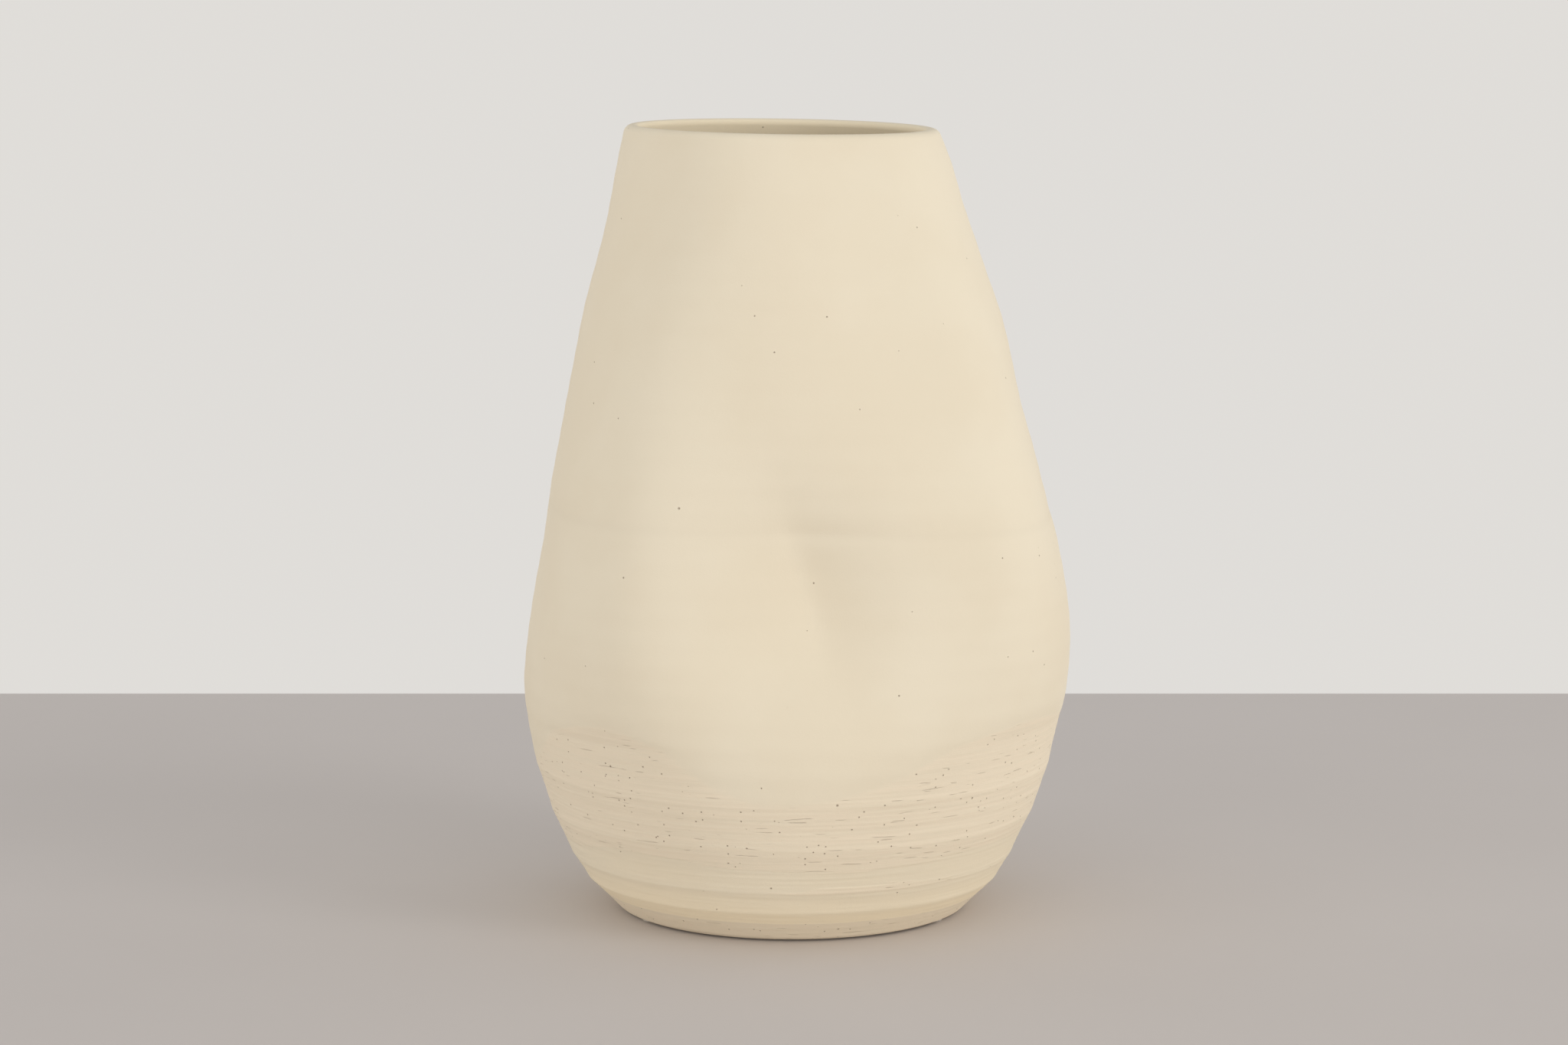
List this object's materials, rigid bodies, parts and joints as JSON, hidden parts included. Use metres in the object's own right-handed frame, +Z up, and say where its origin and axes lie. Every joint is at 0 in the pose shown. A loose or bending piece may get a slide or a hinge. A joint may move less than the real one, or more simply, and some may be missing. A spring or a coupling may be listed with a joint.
{
  "type": "stoneware vase",
  "caption": "Wheel-thrown stoneware vase with a pear-shaped body, a hollow pressed into its front, turned bands above the foot and a wide open mouth.",
  "frame": {"origin": "on the table under the middle of the vase, level with the underside of the felt dots", "axes": "+Z up through the mouth, -Y towards the front with the pressed hollow, +X to the right seen from the front"},
  "size_m": [0.2087, 0.2034, 0.3],
  "materials": {
    "bisque_clay": "matte",
    "liner_glaze": "satin",
    "felt": "matte"
  },
  "bodies": {
    "root": {"lower_section": "bisque_clay", "upper_section": "bisque_clay", "liner_glaze": "liner_glaze", "foot_pad_1": "felt", "foot_pad_2": "felt", "foot_pad_3": "felt"}
  },
  "joints": []
}
